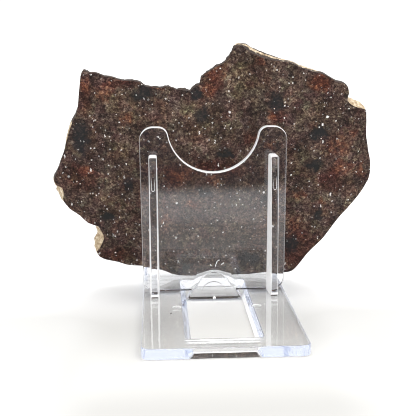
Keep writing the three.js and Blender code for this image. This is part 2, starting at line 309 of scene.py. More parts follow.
MAROON_PATCHES = (
    (-38, 62, 2.0, 5.6), (-41, 36, 6.2, 5.1), (-12, 36, 4.4, 5.1), (-28, 66, 5.9, 1.5), (-16, 65, 2.7, 1.5),
    (0, 66, 3.0, 4.3), (32, 66, 3.0, 2.8), (20, 55, 2.8, 2.2), (29, 10, 6.7, 8.2), (-31, 8, 6.5, 3.0),
    (0, 38, 13.2, 3.1), (12, 48, 3.1, 2.6), (38, 34, 4.8, 4.8),
)
OLIVE_PATCHES = (
    (-27, 59, 6.0, 5.0), (11, 69, 7.8, 6.7), (-2, 54, 9.8, 5.8), (33, 57, 6.2, 5.1), (-32, 26, 6.3, 3.5),
    (-28, 45, 4.6, 4.6), (28, 39, 3.8, 6.1),
)
FLECKED_PATCHES = ((-33, 30, 9, 12), (38, 57, 7, 8), (-33, 50, 6, 7), (0, 52, 8, 5))
PATCH_DEPTH = 5  # half of each one's reach through the stone
PATCH_EDGE = (1.35, 0.45)  # it starts at the first of these shares of its half sizes, full at the second


def patches(shader, place, spots):
    """How much a point of the face lies in one of the spots, from 0 to 1."""
    inside = 0.0
    for across, up, half_width, half_height in spots:
        shift = shader.vector("SUBTRACT", place, (across, 0, up))
        shrunk = shader.vector("MULTIPLY", shift, (1 / half_width, 1 / PATCH_DEPTH, 1 / half_height))
        near = shader.span(shader.vector("LENGTH", shrunk), *PATCH_EDGE)
        inside = shader.math("MAXIMUM", inside, near)
    return inside


def sawn_face():
    """Chondrules and metal in a dark brown matrix, sawn and ground smooth."""
    s = Shader(bpy.data.materials.new("sawn_chondrite"))
    place = s.scaled(s.node("TexCoord").outputs["Object"], 1 / MM)
    warped = displaced(s, place, 0.4, 5.5)
    ragged = displaced(s, place, 1.6, 0.5)
    torn = displaced(s, place, 2.6, 0.9)

    clouds = s.noise(warped, 0.13, 3.0, 0.6).outputs["Fac"]
    mottle = s.noise(place, 0.75, 3.0, 0.6).outputs["Fac"]
    grain = s.noise(place, 3.4, 2.0, 0.6).outputs["Fac"]
    dark = patches(s, warped, DARK_PATCHES)
    rust = patches(s, warped, RUST_PATCHES)
    pale = patches(s, warped, PALE_PATCHES)
    flecked = patches(s, warped, FLECKED_PATCHES)

    lumps = s.cells(displaced(s, place, 0.9, 1.6), 0.42).outputs["Color"]
    lift = -0.06
    for scale, gain in ((1.15, 0.3), (2.3, 0.38), (3.6, 0.24)):
        tone = s.node("SeparateColor", {0: s.cells(ragged, scale).outputs["Color"]}).outputs[0]
        lift = s.plus(lift, tone, gain)
    crowd = s.plus(s.span(clouds, 0.3, 0.7, 0.1, 0.7), pale, 0.35)
    lift = s.plus(lift, chondrules(s, ragged, 0.8, crowd), 0.16)
    for cloud, gain in ((clouds, 0.55), (mottle, 0.5), (grain, 0.5)):
        lift = s.plus(lift, s.math("SUBTRACT", cloud, 0.5), gain)
    lift = s.plus(lift, pale, 0.10)
    lift = s.plus(lift, dark, -0.25)
    stone = s.ramp(
        lift,
        (0.05, srgb(24, 17, 16)), (0.3, srgb(50, 37, 33)), (0.5, srgb(77, 61, 54)),
        (0.66, srgb(101, 85, 74)), (0.82, srgb(138, 122, 104)), (1.0, srgb(188, 174, 152)),
    )
    stone = s.mix(0.14, stone, lumps, "MULTIPLY")
    stone = s.mix(1.0, stone, (1.18, 1.155, 1.18, 1.0), "MULTIPLY")
    hues = s.node("SeparateColor", {0: s.noise(warped, 0.2, 2.0, 0.5).outputs["Color"]})
    stone = s.mix(s.span(hues.outputs[0], 0.45, 0.7, 0.0, 0.5), stone, srgb(224, 255, 236), "MULTIPLY")
    stone = s.mix(s.span(hues.outputs[1], 0.45, 0.7, 0.0, 0.4), stone, srgb(255, 206, 196), "MULTIPLY")
    stone = s.mix(patches(s, warped, MAROON_PATCHES), stone, srgb(240, 200, 194), "MULTIPLY")
    stone = s.mix(patches(s, warped, OLIVE_PATCHES), stone, srgb(250, 251, 238), "MULTIPLY")

    patchy = s.math("MULTIPLY", rust, s.span(mottle, 0.3, 0.62, 0.15, 1.0))
    stray = s.span(s.noise(place, 0.55, 4.0, 0.75).outputs["Fac"], 0.58, 0.72)
    rusty = s.math("MAXIMUM", patchy, s.math("MULTIPLY", stray, 0.6))
    rust_colour = s.ramp(
        lift,
        (0.0, srgb(52, 27, 22)), (0.35, srgb(92, 48, 36)), (0.6, srgb(128, 72, 46)),
        (1.0, srgb(196, 136, 88)),
    )
    stone = s.mix(s.math("MULTIPLY", rusty, 0.55), stone, rust_colour)
    stone = s.mix(s.math("MULTIPLY", dark, 0.55), stone, srgb(40, 44, 46))

    metal_and_glint = metal_flecks_and_glints(s, torn, flecked)
    # the metal grains painted near white: their own pale colour and a painted glint
    stone = s.mix(metal_and_glint, stone, srgb(250, 248, 245))

    pits = s.noise(place, 3.2, 3.0, 0.6).outputs["Fac"]
    bump = s.node("Bump", {"Strength": 0.25, "Distance": 0.05 * MM, "Height": pits})
    s.surface({
        "Base Color": stone,
        "Roughness": s.plus(0.55, metal_and_glint, -0.2),
        "Normal": bump.outputs[0],
        "Specular IOR Level": 0.15,
    })
    return s.owner


def displaced(s, place, scale, reach):
    """The place moved about by noise, so that what is drawn there loses its regular shape."""
    drift = s.vector("SUBTRACT", s.noise(place, scale, 3.0, 0.55).outputs["Color"], (0.5, 0.5, 0.5))
    return s.vector("ADD", place, s.scaled(drift, reach))


def chondrules(s, place, scale, crowd):
    """Soft round grains, more of them where the crowd value is high."""
    cell = s.cells(place, scale)
    pick = s.node("SeparateColor", {0: cell.outputs["Color"]})
    near = s.span(cell.outputs["Distance"], 0.5, 0.12)
    threshold = s.plus(0.85, crowd, -0.8)
    there = s.math("MULTIPLY", s.math("SUBTRACT", pick.outputs[0], threshold), 3.0)
    there = s.node("Clamp", {0: there}).outputs[0]
    return s.math("MULTIPLY", s.math("MULTIPLY", near, there), s.span(pick.outputs[1], 0.0, 1.0, 0.35, 1.0))


def metal_flecks_and_glints(s, place, flecked):
    """Scattered grains of metal, round ones and slivers, thicker in some parts of the stone; their
    brightness is partly a painted glint.
    """
    flecks = 0.0
    kinds = (
        ((1, 1, 1), 0, 1.0, 0.21, 0.70),
        ((1, 1, 0.4), 0.7, 0.6, 0.24, 0.80),
        ((1, 1, 1), 0, 0.36, 0.42, 0.84),
    )
    for stretch, turn, scale, size, rarity in kinds:
        laid = s.node("Mapping", {"Vector": place, "Rotation": (0, turn, 0), "Scale": stretch}).outputs[0]
        grain = s.cells(laid, scale)
        pick = s.node("SeparateColor", {0: grain.outputs["Color"]})
        threshold = s.plus(rarity, flecked, -0.3)
        chosen = s.math("GREATER_THAN", pick.outputs[0], threshold)
        reach = s.math("MULTIPLY", s.span(pick.outputs[1], 0.0, 1.0, 0.35, 1.0), size)
        reach = s.math("MULTIPLY", reach, scale)
        inside = s.math("LESS_THAN", grain.outputs["Distance"], reach)
        shine = s.span(pick.outputs[2], 0.0, 0.8, 0.35, 1.0)
        bright = s.math("MULTIPLY", s.math("MULTIPLY", chosen, inside), shine)
        flecks = s.math("MAXIMUM", flecks, bright)
    return flecks


def crusted_edge():
    """The rim: dark fusion crust, worn to tan where the weathering mask says so."""
    s = Shader(bpy.data.materials.new("weathered_crust"))
    place = s.scaled(s.node("TexCoord").outputs["Object"], 1 / MM)
    worn = s.node("Attribute", attribute_name="worn").outputs["Fac"]
    mottle = s.noise(place, 0.9, 4.0, 0.65).outputs["Fac"]
    grain = s.noise(place, 3.0, 3.0, 0.6).outputs["Fac"]
    crust = s.ramp(grain, (0.3, srgb(24, 18, 16)), (0.6, srgb(60, 44, 34)), (0.8, srgb(112, 86, 60)))
    tan = s.ramp(
        mottle, (0.25, srgb(104, 84, 62)), (0.42, srgb(160, 138, 108)), (0.58, srgb(204, 186, 158)),
        (0.74, srgb(248, 240, 226)),
    )
    _, depth, up = s.node("SeparateXYZ", {0: place}).outputs
    at_top = s.span(up, 64.0, 68.0)  # there the tan keeps to the middle of the edge's depth
    for border in (s.span(depth, 2.5, 3.3, 0.0, 0.75), s.span(depth, 1.0, 2.2, 0.6, 0.0)):
        worn = s.math("SUBTRACT", worn, s.math("MULTIPLY", border, at_top))
    edge = s.span(s.plus(worn, s.math("SUBTRACT", mottle, 0.5), 1.6), 0.5, 0.66)
    height = s.plus(s.math("MULTIPLY", mottle, 0.6), grain, 0.4)
    bump = s.node("Bump", {"Strength": 0.7, "Distance": 0.2 * MM, "Height": height})
    s.surface({"Base Color": s.mix(edge, crust, tan), "Roughness": 0.8, "Normal": bump.outputs[0]})
    return s.owner


def clear_plastic(name, roughness, clearness):
    """Moulded polystyrene, faintly blue and very slightly wavy: see-through, or satin and white, where the
    white is partly a painted highlight.
    """
    s = Shader(bpy.data.materials.new(name))
    place = s.scaled(s.node("TexCoord").outputs["Object"], 1 / MM)
    swell = s.noise(place, 0.07, 1.0, 0.4).outputs["Fac"]
    waves = s.node("Bump", {"Strength": 1.0, "Distance": 0.05 * MM, "Height": swell})
    s.surface({
        "Base Color": (1, 1, 1, 1), "Roughness": roughness, "IOR": 1.59, "Transmission Weight": clearness,
        "Normal": waves.outputs[0],
    })
    absorb = s.node("VolumeAbsorption", {"Color": (0.8, 0.85, 0.97, 1), "Density": 18.0})
    s.feed(s.output.inputs["Volume"], absorb.outputs[0])
    return s.owner


def dark_grit():
    s = Shader(bpy.data.materials.new("dark_grit"))
    s.surface({"Base Color": srgb(40, 34, 32), "Roughness": 0.9})
    return s.owner


# ---------------------------------------------------------------- slice

def cad_rings(node):
    """The slice's edge in the frame: rings of points in its own axes, and the place of those axes."""
    upright = Matrix.Rotation(-LEAN, 4, "X")
    shape = bmesh.new()
    shape.from_mesh(node.data)
    bmesh.ops.remove_doubles(shape, verts=shape.verts, dist=0.001 * MM)
    shape.transform(upright)
    face_depth = min(v.co.y for v in shape.verts)
    foot = min(v.co.z for v in shape.verts if v.co.y < face_depth + 0.1 * MM)
    origin = Vector((PLATE_MIDDLE, face_depth, foot))
    shape.transform(Matrix.Translation(-origin))
    row_of = {v: round(v.co.y / THICKNESS * (CAD_ROWS - 1)) for v in shape.verts}
    rings = []
    start = RING_START
    for row in range(CAD_ROWS):
        joined = {}
        for edge in shape.edges:
            first, second = edge.verts
            spans_rows = any(len({row_of[v] for v in face.verts}) > 1 for face in edge.link_faces)
            if row_of[first] == row_of[second] == row and spans_rows:
                joined.setdefault(first, []).append(second)
                joined.setdefault(second, []).append(first)
        here = min(joined, key=lambda v: (Vector((v.co.x, v.co.z)) - start).length)
        rings.append(walk(joined, here))
        start = Vector((here.co.x, here.co.z))
    shape.free()
    return rings, upright.inverted() @ Matrix.Translation(origin)


def walk(joined, first):
    """The joined points in order round their ring, clockwise in (across, up), as (across, up) pairs."""
    ring = [first]
    before, here = None, first
    while True:
        after = next(v for v in joined[here] if v is not before)
        if after is first:
            break
        ring.append(after)
        before, here = here, after
    points = [Vector((v.co.x, v.co.z)) for v in ring]
    turning = sum(a.x * b.y - b.x * a.y for a, b in zip(points, points[1:] + points[:1]))
    return points if turning < 0 else points[:1] + points[:0:-1]


def slopes(before, here, after):
    """Tangents of the curve as it comes to a point and as it leaves, alike unless the point is a corner."""
    first, second = here - before, after - here
    arriving, leaving = first.normalized(), second.normalized()
    if arriving.angle(leaving) > CORNER:
        return arriving, leaving
    shared = (arriving * second.length + leaving * first.length) / (first.length + second.length)
    return shared, shared


def refine(ring, counts):
    """The ring drawn as a smooth curve through its points, with so many steps in each stretch."""
    fine = []
    size = len(ring)
    for index, steps in enumerate(counts):
        start, end = ring[index], ring[(index + 1) % size]
        length = (end - start).length
        leave = slopes(ring[index - 1], start, end)[1] * length
        arrive = slopes(start, end, ring[(index + 2) % size])[0] * length
        for step in range(steps):
            t = step / steps
            fine.append(
                start * (2 * t ** 3 - 3 * t ** 2 + 1) + leave * (t ** 3 - 2 * t ** 2 + t)
                + end * (3 * t ** 2 - 2 * t ** 3) + arrive * (t ** 3 - t ** 2)
            )
    return fine


# Where the edge is worn to tan: two ends in (across, up) and a reach, in millimetres
WORN_STRETCHES = (
    ((8.5, 77.5), (14.5, 74.8), 1.6), ((14.5, 74.6), (31, 69.6), 1.3),
    ((41.2, 61.0), (45.4, 57.9), 1.3), ((-46.2, 28.5), (-48.6, 33.2), 1.8),
    ((-36.4, 8.5), (-34.8, 18.2), 2.6), ((-36.0, 19.0), (-45.5, 26.4), 0.9),
    ((-44.8, 48.5), (-43.3, 53.0), 0.8),
)
WORN_FADE = (0.3, 2.4)  # it fades between these, as shares of the reach
BROKEN_FROM = -39.5 * MM  # the broken edge runs from here
BROKEN_TO = 8 * MM  # to here, across the slice
BROKEN_ABOVE = 58 * MM


def worn_at(point):
    """How far the crust is worn at a point of the edge, from 0 to 1."""
    most = 0
    for first, second, reach in WORN_STRETCHES:
        start, end = Vector(first) * MM, Vector(second) * MM
        along = end - start
        part = min(max((point - start).dot(along) / along.length_squared, 0), 1)
        distance = (point - start - along * part).length
        most = max(most, 1 - smooth_step(*WORN_FADE, distance / (reach * MM)))
    return most


def broken_at(point):
    """How far a point lies in the broken stretch of the edge, from 0 to 1."""
    inside = smooth_step(BROKEN_FROM, BROKEN_FROM + MM, point.x)
    inside *= 1 - smooth_step(BROKEN_TO - MM, BROKEN_TO, point.x)
    return inside * smooth_step(BROKEN_ABOVE, BROKEN_ABOVE + MM, point.y)


def roughened(ring, depth, row_swell):
    """The ring moved in and out by the stone's roughness at this depth."""
    moved = []
    for index, point in enumerate(ring):
        along = ring[(index + 1) % len(ring)] - ring[index - 1]
        outward = Vector((-along.y, along.x)).normalized()
        wave = SAWN_WAVE + (BROKEN_WAVE - SAWN_WAVE) * broken_at(point)
        wave += WORN_WAVE * worn_at(point)
        spot = Vector((point.x, depth, point.y)) / GRAIN_LENGTH
        rise = min(max(noise.fractal(spot, 0.6, 2.1, 4, noise_basis="PERLIN_NEW"), -1), 1)
        moved.append(point + outward * wave * rise * row_swell)
    return moved


def stone_slice():
    """The frame's slice, drawn with a finer outline and a rough edge."""
    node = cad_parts["slice"]
    rings, place = cad_rings(node)
    counts = [
        max(1, round((after - here).length / POINT_SPACING))
        for here, after in zip(rings[0], rings[0][1:] + rings[0][:1])
    ]
    cad_fine = [refine(ring, counts) for ring in rings]
    shape = bmesh.new()
    worn = shape.verts.layers.float.new("worn")
    rows = []
    for row in range(FINE_ROWS):
        part = row / (FINE_ROWS - 1)
        place_in_cad = part * (CAD_ROWS - 1)
        lower = min(int(place_in_cad), CAD_ROWS - 2)
        blend = place_in_cad - lower
        ring = [a.lerp(b, blend) for a, b in zip(cad_fine[lower], cad_fine[lower + 1])]
        inner = math.sin(math.pi * part)
        ring = roughened(ring, part * THICKNESS, 1 + EDGE_SWELL * inner)
        verts = []
        for point in ring:
            vert = shape.verts.new((point.x, part * THICKNESS, point.y))
            vert[worn] = worn_at(point)
            verts.append(vert)
        rows.append(verts)
    count = len(rows[0])
    for near, far in zip(rows, rows[1:]):
        for index in range(count):
            after = (index + 1) % count
            side = shape.faces.new((near[index], near[after], far[after], far[index]))
            side.material_index = CRUST
            side.smooth = True
    shape.faces.new(list(reversed(rows[0])))
    shape.faces.new(rows[-1])
    bmesh.ops.recalc_face_normals(shape, faces=shape.faces)
    bmesh.ops.triangulate(shape, faces=[f for f in shape.faces if len(f.verts) > 4])
    mesh = bpy.data.meshes.new("slice_stone")
    shape.to_mesh(mesh)
    shape.free()
    mesh.set_sharp_from_angle(angle=SHARP_STONE)
    mesh.materials.append(sawn_face())
    mesh.materials.append(crusted_edge())
    stone = add_object("slice_stone", mesh)
    stone.matrix_world = place
    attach(stone, "root")
    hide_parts("slice")


# ---------------------------------------------------------------- stand

def arc(centre, radius, start, end):
    """Points (across, up) along an arc between two angles in degrees."""
    across, up = centre
    turns = [math.radians(start + (end - start) * step / CURVE_STEPS) for step in range(CURVE_STEPS + 1)]
    return [(across + radius * math.cos(turn), up + radius * math.sin(turn)) for turn in turns]


def plate_outline():
    """Anticlockwise from the foot's right corner."""
    foot, low = PLATE_HALF - FOOT_RADIUS, PLATE_BOTTOM + FOOT_RADIUS
    lobe, lobe_rise = PLATE_HALF + PLATE_FLARE - LOBE_RADIUS, PLATE_TOP - LOBE_RADIUS
    lip_rise, reach = PLATE_TOP - LIP_RADIUS, SCALLOP_RADIUS + LIP_RADIUS
    lip = math.sqrt(reach ** 2 - LIP_RADIUS ** 2)
    turn = math.degrees(math.asin(LIP_RADIUS / reach))
    return (
        arc((foot, low), FOOT_RADIUS, -90, 0)
        + arc((lobe, lobe_rise), LOBE_RADIUS, 0, 90)
        + arc((lip, lip_rise), LIP_RADIUS, 90, 180 - turn)
        + arc((0, PLATE_TOP), SCALLOP_RADIUS, -turn, -180 + turn)[1:-1]
        + arc((-lip, lip_rise), LIP_RADIUS, turn, 90)
        + arc((-lobe, lobe_rise), LOBE_RADIUS, 90, 180)
        + arc((-foot, low), FOOT_RADIUS, 180, 270)
    )


def bell(top, shoulder_half, shoulder_height):
    """Anticlockwise from the lug's bottom left corner, over a curved top."""
    points = [Vector((-LUG_HALF, LUG_BOTTOM)), Vector((LUG_HALF, LUG_BOTTOM))]
    control = 2 * top - shoulder_height
    for step in range(CURVE_STEPS + 1):
        part = step / CURVE_STEPS
        rise = shoulder_height * ((1 - part) ** 2 + part ** 2) + 2 * control * part * (1 - part)
        points.append(Vector((shoulder_half * (1 - 2 * part), rise)))
    return points


def spread(outline, reach):
    """The anticlockwise outline moved outward."""
    moved = []
    count = len(outline)
    for index, here in enumerate(outline):
        here = Vector(here)
        arriving = (here - Vector(outline[index - 1])).normalized()
        leaving = (Vector(outline[(index + 1) % count]) - here).normalized()
        first, second = Vector((arriving.y, -arriving.x)), Vector((leaving.y, -leaving.x))
        moved.append(here + (first + second) / (1 + first.dot(second)) * reach)
    return moved


def layered(layers, lying=False):
    """A closed solid through rings of points, each given with its depth, or with its height if lying."""
    shape = bmesh.new()
    rings = [
        [shape.verts.new((a, b, level) if lying else (a, level, b)) for a, b in points]
        for points, level in layers
    ]
    count = len(rings[0])
    for near, far in zip(rings, rings[1:]):
        for index in range(count):
            after = (index + 1) % count
            shape.faces.new((near[index], near[after], far[after], far[index]))
    shape.faces.new(rings[0])
    shape.faces.new(rings[-1])
    bmesh.ops.recalc_face_normals(shape, faces=shape.faces)
    return shape


def quarter_turns():
    """The angles of the steps that round a rim."""
    return [math.pi / 2 * step / ROUND_STEPS for step in range(ROUND_STEPS + 1)]


def rim(outline, radius):
    """Rings that round a rim, each with its distance from the flat face."""
    return [
        (spread(outline, radius * (math.sin(turn) - 1)), radius * (1 - math.cos(turn)))
        for turn in quarter_turns()
    ]


def slab(outline, low, high, lying=False, low_radius=RIM_RADIUS, high_radius=RIM_RADIUS):
    """The outline as a solid between two levels, with rounded rims."""
    layers = [(points, low + rise) for points, rise in rim(outline, low_radius)]
    layers += [(points, high - rise) for points, rise in reversed(rim(outline, high_radius))]
    return layered(layers, lying)


def lug_solid():
    """A soft slope climbs from the plate's face to the edge of the bell, whose flat front leans back."""
    outer = bell(HILL_TOP, HILL_HALF, HILL_HEIGHT)
    inner = bell(LUG_TOP, SHOULDER_HALF, SHOULDER_HEIGHT)
    back, neck, sunk = PLATE - 0.1, 0.4, 0.02  # depths inside the plate, which it is joined to
    layers = [(inner, back), (inner, neck)]
    for step in range(2 * ROUND_STEPS + 1):
        part = step / (2 * ROUND_STEPS)
        ring = [a.lerp(b, part) for a, b in zip(outer, inner)]
        layers.append((ring, sunk - (HILL_PROUD + sunk) * part ** 2))
    for turn in quarter_turns():
        ring = spread(inner, LUG_RADIUS * (math.cos(turn) - 1))
        layers.append((ring, LUG_RADIUS - LUG_PROUD - LUG_RADIUS * math.sin(turn)))
    shape = layered(layers)
    for vert in shape.verts:
        if vert.co.y < -HILL_PROUD:
            drop = (LUG_TOP - vert.co.z) / (LUG_TOP - LUG_BOTTOM)
            vert.co.y = -HILL_PROUD + (vert.co.y + HILL_PROUD) * (LUG_TAPER + (1 - LUG_TAPER) * drop)
    return shape


def fin_solid(middle):
    """Thicker at its root, most of all near the foot, with rounded edges and upper corners."""
    half, corner = FIN_EDGES[1] / 2, FIN_TOP_RADIUS
    outline = [(-half, FIN_BOTTOM), (half, FIN_BOTTOM)]
    outline += arc((half - corner, FIN_TOP - corner), corner, 0, 90)
    outline += arc((corner - half, FIN_TOP - corner), corner, 90, 180)
    shape = slab(outline, -FIN_DEPTHS[0], PLATE / 2, low_radius=FIN_RADIUS, high_radius=FIN_RADIUS)
    for vert in shape.verts:
        part = (vert.co.z - FIN_BOTTOM) / (FIN_TOP - FIN_BOTTOM)
        root, edge = [low + (high - low) * part for low, high in (FIN_ROOTS, FIN_EDGES)]
        out = max(0, -vert.co.y / FIN_DEPTHS[0])
        vert.co.x = middle + vert.co.x / half * (root + (edge - root) * out) / 2
        if vert.co.y < 0:
            vert.co.y *= fin_depth(vert.co.z) / FIN_DEPTHS[0]
    return shape


def toe(middle):
    """A low step across a fin's foot, over its chamfer, that thins out upwards."""
    front, low = -FIN_DEPTHS[0], FIN_BOTTOM + FIN_CHAMFER
    high, half = low + TOE_HEIGHT, FIN_EDGES[0] / 2 + TOE_WIDER
    section = ((front - TOE_PROUD, low), (front + PAST, low), (front + PAST, high), (front, high))
    return bar(section, middle - half, middle + half)


def fin_depth(height):
    """How far the fins stand out at this height."""
    part = (height - FIN_BOTTOM) / (FIN_TOP - FIN_BOTTOM)
    return FIN_DEPTHS[0] + (FIN_DEPTHS[1] - FIN_DEPTHS[0]) * part


def bar(section, left, right):
    """A bar lying across, with its section given as (depth, up)."""
    shape = bmesh.new()
    near, far = [[shape.verts.new((end, y, z)) for y, z in section] for end in (left, right)]
    for index in range(len(section)):
        after = (index + 1) % len(section)
        shape.faces.new((near[index], near[after], far[after], far[index]))
    shape.faces.new(near)
    shape.faces.new(far)
    bmesh.ops.recalc_face_normals(shape, faces=shape.faces)
    return shape


def edge_cutter(front, bottom, size, left, right):
    """The wedge that chamfers the lower front edge of what stands on this bottom, behind this front."""
    section = (
        (front - PAST, bottom - PAST), (front + size, bottom - PAST), (front + size, bottom),
        (front, bottom + size), (front - PAST, bottom + size),
    )
    return bar(section, left, right)


def slot_cutter(middle):
    """A round-ended bar that cuts the shallow slot into a fin's front."""
    outline = arc((middle, SLOT_TOP - SLOT_HALF), SLOT_HALF, 0, 180)
    outline += arc((middle, SLOT_BOTTOM + SLOT_HALF), SLOT_HALF, 180, 360)
    wide = spread(outline[:CURVE_STEPS] + outline[CURVE_STEPS + 1:-1], SLOT_CHAMFER)
    narrow = spread(wide, -SLOT_CHAMFER)
    front = -fin_depth((SLOT_BOTTOM + SLOT_TOP) / 2)
    return layered([
        (wide, front - PAST), (wide, front), (narrow, front + SLOT_CHAMFER), (narrow, front + SLOT_DEEP),
    ])


def arch_cutter():
    """The arch-shaped hollow in the back of the lug."""
    half, foot = ARCH_HALF, LUG_BOTTOM + ARCH_FOOT
    outline = [(-half, foot), (half, foot)] + arc((0, ARCH_TOP - half), half, 0, 180)
    return layered([(outline, PLATE - ARCH_DEEP), (outline, PLATE + PAST)])


def ball(radius, segments, rings, place, stretch=(1, 1, 1), lean=0):
    """A ball, stretched, leant to one side by so many degrees and moved to its place."""
    shape = bmesh.new()
    bmesh.ops.create_uvsphere(shape, u_segments=segments, v_segments=rings, radius=radius)
    bmesh.ops.scale(shape, verts=shape.verts, vec=stretch)
    bmesh.ops.rotate(shape, verts=shape.verts, matrix=Matrix.Rotation(math.radians(lean), 3, "Y"))
    bmesh.ops.translate(shape, verts=shape.verts, vec=place)
    return shape


def scuff(across, up, lean, half_length):
    """A short raised mark on the plate, over the lug."""
    return ball(SCUFF_HALF, 12, 8, (across, 0, up), (1, 1, half_length / SCUFF_HALF), lean)


def gate_mark():
    """The nub at the lug's bottom edge where the plastic was let into the mould."""
    return ball(NUB_RADIUS, 20, 12, (0, -LUG_PROUD + NUB_SUNK, LUG_BOTTOM + NUB_RADIUS))


def back_plate(clear, satin_highlight):
    """Plate, fins, lug and small marks made one solid, with the slots and the hollow cut out of it."""
    whole = slab(plate_outline(), 0, PLATE, high_radius=FAR_RADIUS)
    foot, lug = PLATE_HALF - FOOT_RADIUS, LUG_HALF + PAST
    parts = [
        (edge_cutter(0, PLATE_BOTTOM, PLATE_CHAMFER, -foot, foot), "DIFFERENCE"),
        (lug_solid(), "UNION"),
        (edge_cutter(-LUG_PROUD, LUG_BOTTOM, LUG_CHAMFER, -lug, lug), "DIFFERENCE"),
        *[(scuff(*mark), "UNION") for mark in SCUFFS],
        (gate_mark(), "UNION"),
        (arch_cutter(), "DIFFERENCE"),
    ]
    for middle in FIN_PLACES:
        sides = middle - FIN_ROOTS[0], middle + FIN_ROOTS[0]
        parts += [
            (fin_solid(middle), "UNION"),
            (edge_cutter(-FIN_DEPTHS[0], FIN_BOTTOM, FIN_CHAMFER, *sides), "DIFFERENCE"),
            (toe(middle), "UNION"),
            (slot_cutter(middle), "DIFFERENCE"),
        ]
    mesh = joined(whole, parts, (clear, satin_highlight))
    for face in mesh.polygons:
        face.material_index = SATIN_HIGHLIGHT if is_satin_highlight(face.center, face.normal) else CLEAR
    mesh.transform(Matrix.Translation((PLATE_MIDDLE, PLATE_FACE, 0)) @ Matrix.Scale(MM, 4))
    moulded_piece("clear_back", mesh, "stand_back")


def is_satin_highlight(place, normal):
    """The edges, fin ends and flaws of the back plate drawn in white satin: partly a matt finish, partly a
    painted highlight along them.
    """
    aside = abs(place.x)
    if aside < SCUFFS_WITHIN and place.y < -0.01 and place.z > SCUFFS_ABOVE:  # the flaws, not their slope
        return abs(normal.y) < SCUFF_FACING
    toe_top = FIN_BOTTOM + FIN_CHAMFER + TOE_HEIGHT
    if aside > FINS_FROM and place.y < -FIN_DEPTHS[0] + 0.001 and place.z < toe_top:  # the fins' feet
        return True
    if abs(normal.y) > FACE_FACING:
        return False
    if place.y < -0.1:  # in front of the plate's face
        if aside > FINS_FROM:
            on_end = normal.z > FIN_TOP_FACING or normal.z < -FIN_FOOT_FACING
            return on_end or abs(normal.x) > FLANK_FACING
        return aside < NUB_RADIUS and place.z < LUG_BOTTOM + 2 * NUB_RADIUS and place.y < -LUG_PROUD
    in_scallop = aside < SCALLOP_RADIUS + LIP_RADIUS and place.z > PLATE_TOP / 2
    on_side_rim = place.y < RIM_RADIUS and aside > PLATE_HALF - 1 and abs(normal.x) > SIDE_FACING
    return normal.z > RIM_FACING or (in_scallop and normal.z > SCALLOP_FACING) or on_side_rim


def joined(first, parts, materials):
    """The mesh left when each part in turn is added to the first solid or cut from it."""
    whole = scratch_object(first)
    others = []
    for shape, operation in parts:
        other = scratch_object(shape)
        joining = whole.modifiers.new("joined", "BOOLEAN")
        joining.operation = operation
        joining.solver = "EXACT"
        joining.object = other
        others.append(other)
    graph = bpy.context.evaluated_depsgraph_get()
    mesh = bpy.data.meshes.new_from_object(whole.evaluated_get(graph))
    for made in [whole] + others:
        bpy.data.objects.remove(made)
    mesh.materials.clear()
    for material in materials:
        mesh.materials.append(material)
    return mesh


def scratch_object(shape):
    """An object that lives only while solids are joined."""
    mesh = bpy.data.meshes.new("scratch")
    shape.to_mesh(mesh)
    shape.free()
    return add_object("scratch", mesh)


def moulded_piece(name, mesh, node_name):
    """The mesh as a smoothly shaded piece in the place of a solid of the frame."""
    for face in mesh.polygons:
        face.use_smooth = True
    mesh.set_sharp_from_angle(angle=SHARP_PLASTIC)
    piece = add_object(name, mesh)
    weighted = piece.modifiers.new("flat faces stay flat", "WEIGHTED_NORMAL")
    weighted.keep_sharp = True
    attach(piece, "root")
    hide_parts(node_name)


def rounded_rectangle(half_width, near, far, radius):
    """Anticlockwise points (across, along)."""
    return (
        arc((half_width - radius, near + radius), radius, -90, 0)
        + arc((half_width - radius, far - radius), radius, 0, 90)
        + arc((radius - half_width, far - radius), radius, 90, 180)
        + arc((radius - half_width, near + radius), radius, 180, 270)
    )


def lip_outline():
    """The strip of the base's footprint along its far end."""
    turn = math.degrees(math.asin((BASE_CORNER - LIP_THICKNESS) / BASE_CORNER))
    across, along = BASE_HALF - BASE_CORNER, BASE_REACH - BASE_CORNER
    return (
        arc((across, along), BASE_CORNER, turn, 90) + arc((-across, along), BASE_CORNER, 90, 180 - turn)
    )


def window_cutter():
    """The window through the base, wider above, with rounded rims."""
    def ring(half_width, grow):
        return rounded_rectangle(half_width + grow, WINDOW_NEAR - grow, WINDOW_FAR + grow, WINDOW_CORNER)
    grown = [
        (WINDOW_RIM * (1 - math.sin(turn)), WINDOW_RIM * (1 - math.cos(turn))) for turn in quarter_turns()
    ]
    layers = [(ring(WINDOW_LOWER, WINDOW_RIM), -PAST)]
    layers += [(ring(WINDOW_LOWER, grow), rise) for grow, rise in grown]
    layers.append((ring((WINDOW_LOWER + WINDOW_UPPER) / 2, 0), BASE_TOP / 2))
    layers += [(ring(WINDOW_UPPER, grow), BASE_TOP - rise) for grow, rise in reversed(grown)]
    layers.append((ring(WINDOW_UPPER, WINDOW_RIM), BASE_TOP + PAST))
    return layered(layers, lying=True)


def dimple_cutter(place):
    outline = arc(place, DIMPLE_RADIUS, 0, 360)[:-1]
    return layered([(outline, BASE_TOP - DIMPLE_DEEP), (outline, BASE_TOP + PAST)], lying=True)


def speck():
    return ball(SPECK_RADIUS, 16, 10, SPECK)


def bead(along, left, right):
    """A fine round bar that tapers to both ends, half sunk in the base's top."""
    stretch = ((right - left) / 2 / BEAD_RADIUS, 1, 1)
    return ball(BEAD_RADIUS, 16, 12, ((left + right) / 2, along, BASE_TOP), stretch)


